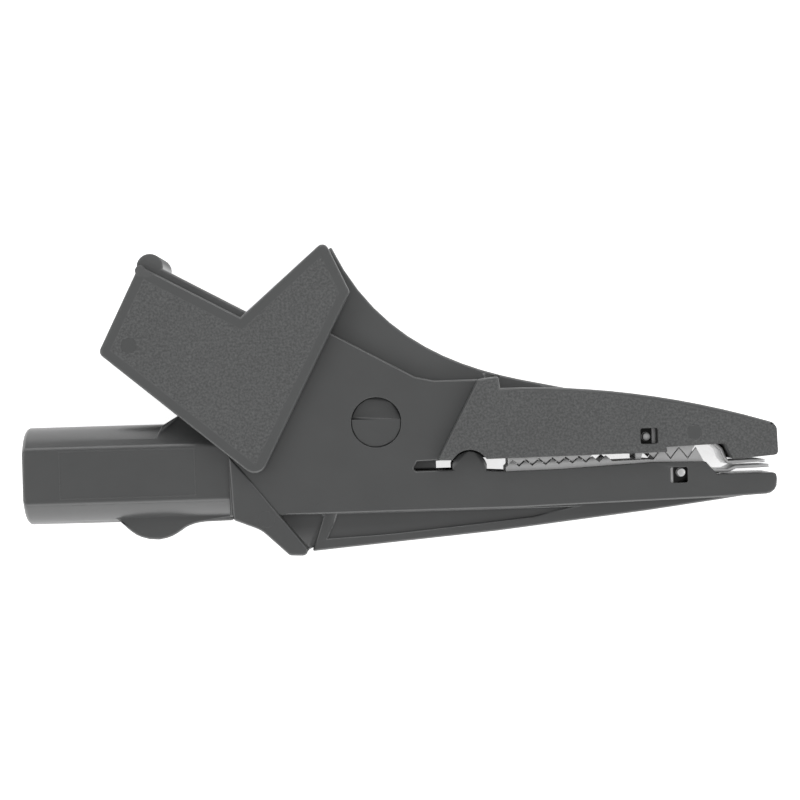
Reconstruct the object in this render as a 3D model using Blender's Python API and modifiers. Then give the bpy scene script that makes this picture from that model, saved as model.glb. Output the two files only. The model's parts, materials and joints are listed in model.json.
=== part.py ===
"""Fully insulated crocodile clip with a 4 mm socket in its tail, lying on its side.

Two plastic mouldings snap together at a pair of hinge bosses: the body, with the socket tube,
the finger guard and the lower jaw, and the lever, with the thumb pad and the upper jaw.  Each
jaw holds a toothed sheet-steel insert, a turned contact sits in the tube and is riveted to the
tail of the lower insert, and a torsion spring on the hinge pushes the jaws shut.

X runs along the tube towards the jaw tips, Y towards the thumb lever, and Z along the hinge.
Outlines are drawn around the hinge axis.  At the end the clip is set down on its side, with
the middle of its outline at the origin and its lowest face at Z = 0.
"""

import math

import bmesh
import bpy
from mathutils import Vector

MM = 0.001

# Clearances
RUN_GAP = 0.3 * MM  # between faces that slide past each other
SEAT_GAP = 0.25 * MM  # between a piece and what it sits in
HINGE_GAP = 0.08 * MM  # round a hinge boss in its hole

# Half thicknesses and walls, counted out from the middle plane
BODY_INSIDE = 4.3 * MM
BODY_WALL = 1.25 * MM
GUARD_RISE = 0.25 * MM
PLATE_WALL = 1.2 * MM
CORE_WALL = 1.25 * MM
SPINE_HALF = 4.1 * MM
SPINE_WEB = 2.9 * MM
BUMP_HALF = 2.6 * MM
CUTTER_REACH = 30 * MM  # how far a cutter goes past the clip
FUSE = 0.2 * MM  # how far shapes of one moulding run into each other

# Socket tube
TUBE_END = -43.6 * MM
TUBE_AXIS = -5.53 * MM
TUBE_RADIUS = 6.02 * MM
TUBE_EDGE = 0.5 * MM
TUBE_FLAT = 5.02 * MM  # from the middle plane
MOUTH_RADIUS = 4.1 * MM
MOUTH_DEPTH = 6.0 * MM
BULKHEAD_FRONT = -15.5 * MM
HUMP_REAR = -26.3 * MM
HUMP_RISE = 1.3 * MM
HUMP_RAMP = 2.25 * MM
BUMP_REAR = -32.1 * MM
BUMP_FRONT = -22.3 * MM
BUMP_DROP = 2.25 * MM

# Turned contact
CONTACT_BORE = 2.0 * MM
CONTACT_RADIUS = 3.0 * MM
FLANGE_THICKNESS = 1.0 * MM
CONTACT_WEB = 1.4 * MM
CONTACT_SHOULDER = 0.4 * MM
STUB_RADIUS = 1.5 * MM
HEAD_RADIUS = 2.3 * MM
HEAD_THICKNESS = 0.8 * MM

# Hinge
BOSS_RADIUS = 3.0 * MM
BOSS_SINK = 0.25 * MM  # boss end below the cheek's face
RAMP_DEPTH = 0.9 * MM
RAMP_EDGE = 0.4 * MM  # above the hinge
STUD_RADIUS = 1.9 * MM
STUD_SPACE = 0.7 * MM

# Cheeks and guard
CHEEK_TOP = 4.95 * MM
CHEEK_PEAK = (-7.0 * MM, 12.05 * MM)
CHEEK_SHOULDER = (4.91 * MM, 5.46 * MM)
CHEEK_FRONT = 13.2 * MM
CHEEK_REAR = -18.2 * MM
CHEEK_LEAN = 4.4 * MM  # how far back the cheek's front edge runs down to the slit
GUARD_RISE_END = 2.0 * MM  # above the tube's axis
GUARD_BOTTOM = -16.1 * MM
GUARD_LOBE = -8.75 * MM
GUARD_LOBE_WIDTH = 2.25 * MM
GUARD_LOBE_HEIGHT = 0.9 * MM
GUARD_BROW = (-16.1 * MM, -6.0 * MM)

# Jaws
UPPER_TIP = 48.85 * MM
TIP_SETBACK = 0.05 * MM  # lower tip behind the upper one
NOSE_LENGTH = 6.29 * MM  # solid upper nose ahead of the cut-out
NOSE_DROP = 0.8 * MM  # its bite below the parting line
NOSE_ROUND = 1.3 * MM
CUTOUT_LENGTH = 3.36 * MM
CUTOUT_TOP = -3.7 * MM
NOSE_STEP = -7.6 * MM
LIP_SEAT = 0.1 * MM  # depth of the lower lip's seat behind the nose
PARTING = -4.9 * MM
LOWER_EDGE = -6.4 * MM
JAW_BACK = 3.76 * MM
JAW_STEP = 0.25 * MM  # cheek panel of the jaw above the cheek's top edge
JAW_REAR_WALL = 1.25 * MM
FLOOR_WALL = 1.2 * MM
ROOF_WALL = 1.9 * MM
ROOF_FALL = 1.2 * MM
LEDGE = -11.05 * MM  # lower edge of the cheeks below the hinge
LEDGE_RISE = 0.95 * MM  # from there to the tip
SLIT_REAR = 4.3 * MM
SLIT_HEIGHT = 1.12 * MM
EAR = (11.27 * MM, -6.05 * MM)
EAR_RADIUS = 2.1 * MM
SPINE_REAR = -8.3 * MM
SPINE_SETBACK = 2.3 * MM  # its front end behind the tip
SPINE_LIFT = 0.46 * MM  # its rear end above the guard's lobe
SPINE_BELLY = 0.6 * MM
SPINE_RIB = 1.25 * MM
RECESS_REAR = -6.3 * MM
RECESS_FRONT = 23.0 * MM

# Lever
PAD_WALL = 1.5 * MM
PAD_PROUD = 1.0 * MM
BEAD_RADIUS = 1.64 * MM
BEAD_SINK = 0.45 * MM
KNOB_RADIUS = 0.66 * MM
LEVER_HEEL = (-33.6 * MM, 9.4 * MM)
LEVER_BROW = (-28.3 * MM, 19.9 * MM)
LEVER_CROTCH = (-16.15 * MM, 13.24 * MM)
LEVER_PEAK = (-5.68 * MM, 22.4 * MM)
LEVER_SHOULDER = (-2.66 * MM, 15.98 * MM)
LEVER_TOE = (-14.44 * MM, -6.63 * MM)
KNOB = (-28.2 * MM, 19.3 * MM)
CORE_REAR = (-13.5 * MM, 12.0 * MM)
CORE_OVERLAP = 8.3 * MM  # core running into the jaw
TONGUE_REAR = -2.0 * MM  # tongue of the core behind the slit
TONGUE_FRONT = 7.2 * MM
TONGUE_DROP = 1.1 * MM  # below the parting line
WEB_PEAK = (-4.96 * MM, 21.79 * MM)
WEB_LEAN = (1.57 * MM, 7.47 * MM)
WEB_WAIST = (14.91 * MM, 5.2 * MM)

# Sheet-steel inserts
SHEET = 0.6 * MM
LIP_HALF = 3.6 * MM
LIP_SHEET = 0.4 * MM
FINE_PITCH = 1.645 * MM
FINE_HEIGHT = 0.72 * MM
FINE_DROP = 0.65 * MM  # middle of the fine teeth below the parting line
COARSE_PITCH = 2.1 * MM
COARSE_HEIGHT = 1.36 * MM
COARSE_TEETH = 3
TEETH_BREAK = 5.0 * MM  # between the fine and the coarse teeth
TEETH_GAP = 0.3 * MM
POST = (2.25 * MM, 1.5 * MM)  # rear and front of the post behind the coarse teeth
POST_DROP = 0.5 * MM
PIP_RADIUS = 0.5 * MM
PIP_HEIGHT = 1.4 * MM
PIP_SHIFT = 0.3 * MM
WINDOW_LENGTH = 2.1 * MM
WINDOW_HEIGHT = 1.9 * MM
UPPER_WINDOW = (6.0 * MM, -2.6 * MM)  # back from the cut-out, and height
LOWER_WINDOW = (2.3 * MM, -7.5 * MM)

# Torsion spring
WIRE = 1.0 * MM
COIL_PITCH = 1.2 * MM
COIL_TURNS = 3
LOWER_LEG = -11.2 * MM
UPPER_LEG = (-10.6 * MM, 12.9 * MM)

ROUND_STEPS = 48
LEDGE_STEPS = 3

body_outside = BODY_INSIDE + BODY_WALL
guard_half = body_outside + GUARD_RISE
plate_inside = guard_half + RUN_GAP
plate_outside = plate_inside + PLATE_WALL
skirt_inside = body_outside + RUN_GAP
core_outside = BODY_INSIDE - RUN_GAP
core_inside = core_outside - CORE_WALL
insert_outside = BODY_INSIDE - SEAT_GAP
tube_bottom = TUBE_AXIS - TUBE_RADIUS
tube_top = TUBE_AXIS + TUBE_RADIUS
floor_top = LEDGE + FLOOR_WALL
flange_rear = TUBE_END + MOUTH_DEPTH
flange_radius = MOUTH_RADIUS - RUN_GAP
rivet_face = BULKHEAD_FRONT + CONTACT_SHOULDER
sweep_radius = math.hypot(CHEEK_FRONT, CHEEK_TOP) + RUN_GAP
cavity_rear = sweep_radius + JAW_REAR_WALL
lower_tip = UPPER_TIP - TIP_SETBACK
cutout_front = UPPER_TIP - NOSE_LENGTH
cutout_rear = cutout_front - CUTOUT_LENGTH
roof = JAW_BACK - ROOF_WALL
teeth_start = cavity_rear + FUSE / 2
coarse_start = cutout_rear - (COARSE_TEETH - 0.5) * COARSE_PITCH
fine_teeth = max(round((coarse_start - TEETH_BREAK - teeth_start) / FINE_PITCH), 2)
upper_window = (cutout_rear - UPPER_WINDOW[0], UPPER_WINDOW[1])
lower_window = (cutout_rear - LOWER_WINDOW[0], LOWER_WINDOW[1])
coil_radius = STUD_RADIUS + SEAT_GAP + WIRE / 2


def make_collection(name):
    """Return a new collection linked to the scene."""
    collection = bpy.data.collections.new(name)
    bpy.context.scene.collection.children.link(collection)
    return collection


def make_material(name, colour, roughness, metallic):
    """Return a Principled material."""
    material = bpy.data.materials.new(name)
    material.use_nodes = True
    shader = material.node_tree.nodes["Principled BSDF"]
    shader.inputs["Base Color"].default_value = (*colour, 1)
    shader.inputs["Roughness"].default_value = roughness
    shader.inputs["Metallic"].default_value = metallic
    return material


def turned_by(vector, angle):
    """Return a flat vector turned counter-clockwise."""
    sine, cosine = math.sin(angle), math.cos(angle)
    return Vector((vector.x * cosine - vector.y * sine, vector.x * sine + vector.y * cosine))


def rounded(corners, steps=4):
    """Return outline points through (x, y, radius) corners, each corner turned into an arc."""
    points = []
    for index, (x, y, radius) in enumerate(corners):
        here = Vector((x, y))
        if radius == 0:
            points.append(here)
            continue
        to_last = (Vector(corners[index - 1][:2]) - here).normalized()
        to_next = (Vector(corners[(index + 1) % len(corners)][:2]) - here).normalized()
        half_angle = to_last.angle(to_next) / 2
        centre = here + (to_last + to_next).normalized() * radius / math.sin(half_angle)
        arm = here + to_last * radius / math.tan(half_angle) - centre
        turn = math.pi - 2 * half_angle
        if to_last.x * to_next.y - to_last.y * to_next.x > 0:
            turn = -turn
        points.extend(centre + turned_by(arm, turn * step / steps) for step in range(steps + 1))
    return [tuple(point) for point in points]


def bezier(start, lean_start, lean_end, end, steps):
    """Return points along a cubic curve, both ends included."""
    points = []
    for step in range(steps + 1):
        t = step / steps
        weights = ((1 - t) ** 3, 3 * t * (1 - t) ** 2, 3 * t * t * (1 - t), t**3)
        knots = (start, lean_start, lean_end, end)
        points.append(tuple(sum(w * k[axis] for w, k in zip(weights, knots)) for axis in (0, 1)))
    return points


def arc(centre, radius, start, end, steps):
    """Return points on an arc between two angles, both ends included."""
    angles = (start + (end - start) * step / steps for step in range(steps + 1))
    return [(centre[0] + radius * math.cos(a), centre[1] + radius * math.sin(a)) for a in angles]


def thick_line(points, thickness):
    """Return the outline of a sheet that follows points, half its thickness to each side."""
    left, right = [], []
    for index, point in enumerate(points):
        here = Vector(point)
        before = Vector(points[max(index - 1, 0)])
        after = Vector(points[min(index + 1, len(points) - 1)])
        run_in = (here - before).normalized() if index else (after - here).normalized()
        run_out = (after - here).normalized() if index < len(points) - 1 else run_in
        mitre = (run_in + run_out).normalized()
        reach = thickness / 2 / max(mitre.dot(run_in), 0.3)
        side = Vector((-mitre.y, mitre.x)) * reach
        left.append(tuple(here + side))
        right.append(tuple(here - side))
    return left + right[::-1]


def link(thing, collection):
    """Put an object in one collection only."""
    for old in list(thing.users_collection):
        old.objects.unlink(thing)
    collection.objects.link(thing)
    thing.parent = clip
    return thing


def as_tool(thing):
    """Hide an object that only shapes another one."""
    link(thing, tools)
    thing.hide_render = True
    thing.display_type = "WIRE"
    return thing


def solid_from(thing, name):
    """Replace a curve or a modified object by a closed mesh object of its own."""
    bpy.context.view_layer.update()
    depsgraph = bpy.context.evaluated_depsgraph_get()
    mesh = bpy.data.meshes.new_from_object(thing.evaluated_get(depsgraph))
    shape = bmesh.new()
    shape.from_mesh(mesh)
    bmesh.ops.remove_doubles(shape, verts=shape.verts, dist=0.001 * MM)
    bmesh.ops.recalc_face_normals(shape, faces=shape.faces)
    shape.to_mesh(mesh)
    shape.free()
    mesh.materials.clear()
    piece = bpy.data.objects.new(name, mesh)
    piece.matrix_world = thing.matrix_world
    bpy.data.objects.remove(thing)
    return piece


def prism(name, outline, half, middle=0.0):
    """Return a plate with an outline in X and Y and a half thickness about a height."""
    curve = bpy.data.curves.new(name, "CURVE")
    curve.dimensions = "2D"
    curve.fill_mode = "BOTH"
    curve.extrude = half
    spline = curve.splines.new("POLY")
    spline.points.add(len(outline) - 1)
    for point, (x, y) in zip(spline.points, outline):
        point.co = (x, y, 0, 1)
    spline.use_cyclic_u = True
    thing = bpy.data.objects.new(name, curve)
    bpy.context.scene.collection.objects.link(thing)
    thing.location.z = middle
    return as_tool(solid_from(thing, name))


def round_bar(name, centre, radius, half, middle=0.0, steps=ROUND_STEPS):
    """Return a round bar along Z."""
    bpy.ops.mesh.primitive_cylinder_add(
        vertices=steps, radius=radius, depth=2 * half, location=(*centre, middle)
    )
    thing = bpy.context.object
    thing.name = name
    return as_tool(thing)


def turned(name, profile):
    """Return a shape turned about the tube's axis from (x, radius) points, tail end first."""
    mesh = bpy.data.meshes.new(name)
    verts = [(x, radius, 0) for x, radius in profile]
    edges = [(index, index + 1) for index in range(len(profile) - 1)]
    mesh.from_pydata(verts, edges, [])
    thing = bpy.data.objects.new(name, mesh)
    bpy.context.scene.collection.objects.link(thing)
    thing.location.y = TUBE_AXIS
    screw = thing.modifiers.new("Turn", "SCREW")
    screw.axis = "X"
    screw.steps = ROUND_STEPS
    screw.render_steps = ROUND_STEPS
    screw.use_merge_vertices = True
    screw.merge_threshold = 0.001 * MM
    return as_tool(solid_from(thing, name))


def combine(base, tool, operation):
    """Add a Boolean of one object on another, kept live."""
    modifier = base.modifiers.new(tool.name, "BOOLEAN")
    modifier.operation = operation
    modifier.solver = "EXACT"
    modifier.object = tool
    return base


def join(base, tool):
    """Weld one shape to another."""
    return combine(base, tool, "UNION")


def cut(base, tool):
    """Take one shape out of another."""
    return combine(base, tool, "DIFFERENCE")


def both_sides(action, base, make_tool, middle):
    """Use a tool once on each side of the middle plane."""
    action(base, make_tool("near", middle))
    action(base, make_tool("far", -middle))


def finish(piece, name, material):
    """Make an object one of the clip's pieces."""
    link(piece, parts)
    piece.name = name
    piece.hide_render = False
    piece.display_type = "TEXTURED"
    piece.data.materials.clear()
    piece.data.materials.append(material)
    return piece


def ledge(x):
    """Return the height of the body's lower ledge, level under the tube and rising to the nose."""
    return LEDGE + LEDGE_RISE * max(x / UPPER_TIP, 0) ** 2


def ledge_line(end, lift=0.0, steps=LEDGE_STEPS):
    """Return points along the lower ledge, from below the hinge to an end, lifted by a wall."""
    places = [end * step / steps for step in range(steps + 1)]
    return [(x, ledge(x) + lift) for x in places]


def jaw_top():
    """Return the upper jaw's top edge from the step behind it to its nose."""
    start = Vector((cavity_rear - JAW_REAR_WALL / 3, JAW_BACK))
    end = Vector((UPPER_TIP - NOSE_ROUND, CUTOUT_TOP + 2 * NOSE_ROUND))
    rise = Vector((0, 1.35 * NOSE_ROUND))
    return bezier(start, start.lerp(end, 1 / 3) + rise, start.lerp(end, 2 / 3) + rise, end, 12)


def web_top():
    """Return the hollow curve from the lever's peak down to the upper jaw."""
    end = (cavity_rear + CORE_OVERLAP, JAW_BACK - FUSE)
    return bezier(WEB_PEAK, WEB_LEAN, WEB_WAIST, end, 14)


def spine_line():
    """Return the bottom edge of the spine from the guard's lobe to the front of the jaw."""
    front = UPPER_TIP - SPINE_SETBACK
    start = Vector((SPINE_REAR, GUARD_BOTTOM + SPINE_LIFT))
    end = Vector((front, ledge(front) + LIP_SEAT))
    belly = Vector((0, -SPINE_BELLY))
    return bezier(start, start.lerp(end, 1 / 3) + belly, start.lerp(end, 2 / 3) + belly, end, 12)


def zigzag(start, pitch, count, middle, height):
    """Return the points of a row of teeth that starts and ends at a valley."""
    points = []
    for index in range(2 * count + 1):
        x = start + pitch * index / 2
        points.append((x, middle(x) + (height / 2 if index % 2 else -height / 2)))
    return points


def fine_middle(x):
    """Return the height of the fine teeth, which rise a little towards the front."""
    return PARTING - FINE_DROP + 0.03 * (x - teeth_start)


def coarse_middle(x):
    """Return the height of the coarse teeth at the front."""
    return PARTING + LIP_SEAT


def teeth_line():
    """Return the line where the two inserts meet, from the hinge end to the front."""
    fine = zigzag(teeth_start, FINE_PITCH, fine_teeth, fine_middle, FINE_HEIGHT)
    coarse = zigzag(coarse_start, COARSE_PITCH, COARSE_TEETH, coarse_middle, COARSE_HEIGHT)
    return fine, coarse


def slab(name, rear, bottom, front, top, half, middle=0.0):
    """Return a plain block between two corners."""
    outline = [(rear, bottom), (front, bottom), (front, top), (rear, top)]
    return prism(name, outline, half, middle)


def body_wall_outline():
    """Return the side view of the cheeks and the lower jaw, with the slit between them."""
    slit_top = PARTING - SEAT_GAP / 5
    return rounded(
        [
            (CHEEK_REAR, LEDGE, 0),
            *[(x, y, 0) for x, y in ledge_line(cutout_front, 0, 5)],
            (lower_tip, ledge(UPPER_TIP) + LIP_SEAT / 2, 1.4 * MM),
            (lower_tip - RUN_GAP, NOSE_STEP + LIP_SEAT, 0.4 * MM),
            (cutout_front - 1.0 * MM, NOSE_STEP, 0.3 * MM),
            (cutout_rear + 1.0 * MM, LOWER_EDGE + 0.5 * MM, 0.3 * MM),
            (cutout_rear - 5.4 * MM, LOWER_EDGE + 0.56 * MM, 0),
            ((cutout_rear + teeth_start) / 2 - 5 * MM, LOWER_EDGE + 0.03 * MM, 0),
            (teeth_start, LOWER_EDGE - 0.07 * MM, 0),
            (EAR[0] - EAR_RADIUS, LOWER_EDGE + 0.35 * MM, 0),
            (SLIT_REAR, slit_top - SLIT_HEIGHT, 0.3 * MM),
            (SLIT_REAR + SLIT_HEIGHT / 2, slit_top, 0.2 * MM),
            (CHEEK_FRONT - CHEEK_LEAN, slit_top, 0.4 * MM),
            (CHEEK_FRONT, CHEEK_TOP, 0.4 * MM),
            ((CHEEK_FRONT + CHEEK_SHOULDER[0]) / 2 - 1.8 * MM, CHEEK_TOP, 0),
            (*CHEEK_SHOULDER, 0),
            (*CHEEK_PEAK, 0.6 * MM),
            (BULKHEAD_FRONT - 1.6 * MM, tube_top + FUSE, 0.6 * MM),
            (CHEEK_REAR, tube_top + FUSE, 0),
        ]
    )


def make_walls():
    """Return the body's hollow cheeks and lower jaw, with their holes, windows and ears."""
    body = prism("body_walls", body_wall_outline(), body_outside)
    channel = ledge_line(cutout_rear - 2.7 * MM, FLOOR_WALL)
    seat = NOSE_STEP - LIP_SEAT
    cavity = [
        (BULKHEAD_FRONT, floor_top),
        *channel,
        (cutout_front - 2.6 * MM, seat),
        (cutout_front + 0.4 * MM, seat),
        (cutout_front + 0.4 * MM, CUTTER_REACH),
        (BULKHEAD_FRONT, CUTTER_REACH),
    ]
    cut(body, prism("body_cavity", cavity, BODY_INSIDE))
    cut(body, round_bar("hinge_hole", (0, 0), BOSS_RADIUS + HINGE_GAP, CUTTER_REACH))
    cut(body, prism("lower_windows", window_outline(lower_window), CUTTER_REACH))
    half = BODY_WALL / 2
    both_sides(
        join,
        body,
        lambda side, z: round_bar("ear_" + side, EAR, EAR_RADIUS, half, z, 24),
        BODY_INSIDE + half,
    )
    return body


def make_tube():
    """Return the socket tube, round with a flat on each side."""
    tube = turned(
        "tube_round",
        [
            (TUBE_END, 0),
            (TUBE_END, TUBE_RADIUS - TUBE_EDGE),
            (TUBE_END + 0.3 * TUBE_EDGE, TUBE_RADIUS - 0.3 * TUBE_EDGE),
            (TUBE_END + TUBE_EDGE, TUBE_RADIUS),
            (BULKHEAD_FRONT, TUBE_RADIUS),
            (BULKHEAD_FRONT, 0),
        ],
    )
    reach = CUTTER_REACH
    flats = slab("tube_flats", TUBE_END - reach, TUBE_AXIS - reach, reach, reach, TUBE_FLAT)
    return combine(tube, flats, "INTERSECT")


def hump_outline():
    """Return the hump on top of the tube, below the thumb lever."""
    top = tube_top + HUMP_RISE
    return [
        (HUMP_REAR - HUMP_RAMP, TUBE_AXIS + TUBE_RADIUS / 3),
        (HUMP_REAR, tube_top - LIP_SEAT),
        (HUMP_REAR + HUMP_RAMP, top),
        (BULKHEAD_FRONT - HUMP_RAMP, top),
        (BULKHEAD_FRONT - HUMP_RAMP / 2, tube_top - LIP_SEAT),
        (BULKHEAD_FRONT - HUMP_RAMP / 2, TUBE_AXIS + TUBE_RADIUS / 3),
    ]


def bump_outline():
    """Return the finger stop below the tube."""
    inside = tube_bottom + TUBE_RADIUS / 3
    front = CHEEK_REAR + GUARD_RISE
    return rounded(
        [
            (BUMP_REAR - 0.6 * MM, inside, 0),
            (BUMP_REAR, tube_bottom + LIP_SEAT, 1.0 * MM),
            (BUMP_REAR + 2.0 * MM, tube_bottom - BUMP_DROP + GUARD_RISE, 2.2 * MM),
            (BUMP_FRONT - 3.0 * MM, tube_bottom - BUMP_DROP, 2.5 * MM),
            (BUMP_FRONT, tube_bottom - FUSE, 1.6 * MM),
            (front, tube_bottom - FUSE, 0),
            (front, inside, 0),
        ]
    )


def make_guard():
    """Return the finger guard that wraps the tube's front end."""
    lobe_rear = GUARD_LOBE - GUARD_LOBE_WIDTH
    outline = rounded(
        [
            (CHEEK_REAR, TUBE_AXIS + GUARD_RISE_END, 0),
            (CHEEK_REAR + 0.4 * MM, LEDGE - 0.4 * MM, 0.5 * MM),
            (lobe_rear - 3.4 * MM, LEDGE - 1.75 * MM, 4 * MM),
            (lobe_rear, GUARD_BOTTOM + LIP_SEAT, 0.7 * MM),
            (GUARD_LOBE, GUARD_BOTTOM, 0.7 * MM),
            (GUARD_LOBE, GUARD_BOTTOM + GUARD_LOBE_HEIGHT, 0.2 * MM),
            (*GUARD_BROW, 0.4 * MM),
        ]
    )
    guard = prism("guard", outline, guard_half)
    return cut(guard, slab("guard_inside", BULKHEAD_FRONT, floor_top, 0, 0, BODY_INSIDE))


def make_spine():
    """Return the rib under the lower jaw, with a recess in each of its sides."""
    top = LEDGE + FLOOR_WALL / 2
    spine = prism("spine", [(SPINE_REAR + 1.7 * MM, top), *spine_line()], SPINE_HALF)
    root = [
        (GUARD_LOBE - 5.2 * MM, top),
        (GUARD_LOBE - 1.4 * MM, GUARD_BOTTOM + GUARD_LOBE_HEIGHT),
        (GUARD_LOBE + 2.7 * MM, GUARD_BOTTOM + GUARD_LOBE_HEIGHT),
        (GUARD_LOBE + 4.7 * MM, top),
    ]
    join(spine, prism("spine_root", root, SPINE_WEB))
    rim = LEDGE - SPINE_RIB / 8
    low = [(x, y + SPINE_RIB) for x, y in spine_line() if RECESS_REAR < x < RECESS_FRONT]
    recess = [(RECESS_REAR + SPINE_RIB, rim), (RECESS_REAR, low[0][1]), *low[1:], (RECESS_FRONT, rim)]
    recess = [(x, min(y, rim)) for x, y in recess]
    half = SPINE_HALF - SPINE_WEB
    both_sides(
        cut, spine, lambda side, z: prism("spine_recess_" + side, recess, half, z), SPINE_WEB + half
    )
    return spine


def make_body():
    """Return the body moulding: socket tube, guard, cheeks and lower jaw."""
    body = make_walls()
    join(body, make_tube())
    join(body, prism("hump", hump_outline(), BODY_INSIDE - LIP_SEAT))
    join(body, prism("bump", bump_outline(), BUMP_HALF))
    join(body, make_guard())
    join(body, make_spine())
    step = flange_rear + FLANGE_THICKNESS + SEAT_GAP
    sleeve = CONTACT_RADIUS + SEAT_GAP
    bore = turned(
        "socket_bore",
        [
            (TUBE_END - MOUTH_DEPTH, 0),
            (TUBE_END - MOUTH_DEPTH, MOUTH_RADIUS),
            (step, MOUTH_RADIUS),
            (step, sleeve),
            (rivet_face + CONTACT_SHOULDER, sleeve),
            (rivet_face + CONTACT_SHOULDER, 0),
        ],
    )
    cut(body, bore)
    return finish(body, "handle_body", plastic)


def window_outline(centre):
    """Return a latch window in a jaw wall."""
    x, y = centre
    dx, dy = WINDOW_LENGTH / 2, WINDOW_HEIGHT / 2
    corners = ((x - dx, y - dy), (x + dx, y - dy), (x + dx, y + dy), (x - dx, y + dy))
    return rounded([(*corner, 0.2 * MM) for corner in corners], 2)


def beside(start, end, share, out):
    """Return a point on the way between two others, moved out to the left of the way."""
    start, end = Vector(start), Vector(end)
    way = (end - start).normalized()
    return tuple(start.lerp(end, share) + Vector((-way.y, way.x)) * out)


def make_shell():
    """Return the lever's side plates with the thumb pad between them."""
    plates = rounded(
        [
            (*LEVER_HEEL, 0.8 * MM),
            (*LEVER_TOE, 1.5 * MM),
            (*LEVER_SHOULDER, 0.4 * MM),
            (*LEVER_PEAK, 0.8 * MM),
            (*LEVER_CROTCH, 0.2 * MM),
            (*LEVER_BROW, 0.3 * MM),
        ]
    )
    shell = prism("lever_plates", plates, plate_outside)
    join(shell, round_bar("knob", KNOB, KNOB_RADIUS, plate_outside, 0, 16))
    space = [
        (-1.5 * CUTTER_REACH, LEVER_HEEL[1]),
        (LEVER_TOE[0], -CUTTER_REACH),
        (CUTTER_REACH, CHEEK_TOP),
        (CUTTER_REACH, CUTTER_REACH),
        beside(LEVER_PEAK, LEVER_CROTCH, -0.3, PAD_WALL),
        (LEVER_CROTCH[0] + PAD_WALL / 2, LEVER_CROTCH[1] - PAD_WALL * 1.25),
        beside(LEVER_CROTCH, LEVER_BROW, 1.3, PAD_WALL),
    ]
    cut(shell, prism("lever_space", space, plate_inside))
    pad = [
        beside(LEVER_CROTCH, LEVER_BROW, -0.02, PAD_WALL / 2),
        beside(LEVER_CROTCH, LEVER_BROW, -0.07, -PAD_PROUD),
        beside(LEVER_CROTCH, LEVER_BROW, 0.9, -PAD_PROUD),
        beside(LEVER_CROTCH, LEVER_BROW, 0.9, PAD_WALL / 2),
    ]
    join(shell, prism("pad", pad, plate_inside + FUSE))
    bead = beside(LEVER_CROTCH, LEVER_BROW, 0.92, -BEAD_SINK)
    join(shell, round_bar("bead", bead, BEAD_RADIUS, plate_inside + FUSE, 0, 24))
    return shell


def make_core():
    """Return the lever's hollow core, which turns between the cheeks on two hinge bosses."""
    front = cavity_rear + CORE_OVERLAP
    bottom = PARTING + FUSE
    outline = [
        *web_top(),
        (front, bottom),
        (TONGUE_FRONT, bottom),
        (TONGUE_FRONT, PARTING - TONGUE_DROP),
        (TONGUE_REAR, PARTING - TONGUE_DROP),
        *arc((0, 0), -bottom, math.radians(245), math.radians(185), 6),
        CORE_REAR,
        (LEVER_CROTCH[0] + PAD_WALL / 2, LEVER_CROTCH[1] - PAD_WALL / 2),
    ]
    core = prism("core", outline, core_outside)
    under = [(x - 0.6 * PAD_WALL, y - PAD_WALL) for x, y in web_top()]
    hollow = [
        (under[0][0] - PAD_WALL / 2, under[0][1] - PAD_WALL),
        *under[1:-3],
        (front + PAD_WALL, PARTING + JAW_REAR_WALL * 4),
        (front + PAD_WALL, PARTING - CORE_OVERLAP),
        (CHEEK_REAR, PARTING - CORE_OVERLAP),
        (CHEEK_REAR - CORE_OVERLAP / 2, LEVER_HEEL[1]),
        (LEVER_CROTCH[0] + PAD_WALL, LEVER_CROTCH[1] - 1.3 * PAD_WALL),
    ]
    cut(core, prism("core_hollow", hollow, core_inside))
    boss_end = body_outside - BOSS_SINK
    boss_half = (boss_end - core_inside) / 2
    stud_half = (core_inside + FUSE - STUD_SPACE) / 2
    edge = BOSS_RADIUS + SEAT_GAP
    for side, way in (("near", 1), ("far", -1)):
        boss = round_bar(
            "boss_" + side, (0, 0), BOSS_RADIUS, boss_half, way * (core_inside + boss_half)
        )
        ramp = slab("ramp_" + side, -edge, RAMP_EDGE, edge, edge, RAMP_DEPTH, way * (boss_end + FUSE / 2))
        join(core, cut(boss, ramp))
        middle = way * (STUD_SPACE + stud_half)
        join(core, round_bar("stud_" + side, (0, 0), STUD_RADIUS, stud_half, middle, 24))
    return core


def jaw_outline():
    """Return the side view of the upper jaw."""
    nose = rounded(
        [
            (*jaw_top()[-1], 0),
            (UPPER_TIP - LIP_SEAT, jaw_top()[-1][1] - 0.4 * MM, 1.0 * MM),
            (UPPER_TIP, PARTING - NOSE_DROP / 2, 0.5 * MM),
            (cutout_front + NOSE_DROP, PARTING - NOSE_DROP, 0.4 * MM),
            (cutout_front, CUTOUT_TOP, 0.3 * MM),
            (cutout_rear - 4.0 * MM, CUTOUT_TOP - 0.25 * MM, 0.1 * MM),
            (cutout_rear - 3.8 * MM, PARTING + SEAT_GAP, 0.1 * MM),
            (CHEEK_FRONT - 1.36 * CHEEK_LEAN, PARTING, 0.1 * MM),
            (CHEEK_FRONT - 2.3 * RUN_GAP, CHEEK_TOP, 0.1 * MM),
            (cavity_rear - JAW_REAR_WALL / 2, CHEEK_TOP + JAW_STEP, 0.2 * MM),
        ]
    )
    return [*jaw_top(), *nose[1:]]


def make_jaw():
    """Return the upper jaw before its cavity is cut."""
    jaw = prism("jaw", jaw_outline(), plate_outside)
    sweep = [
        *arc((0, 0), sweep_radius, math.radians(-35), math.radians(35), 14),
        (0, CHEEK_PEAK[1]),
        (0, -CHEEK_PEAK[1]),
    ]
    cut(jaw, prism("jaw_sweep", sweep, skirt_inside))
    return cut(jaw, round_bar("jaw_notch", EAR, EAR_RADIUS + RUN_GAP, CUTTER_REACH, 0, 32))


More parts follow.
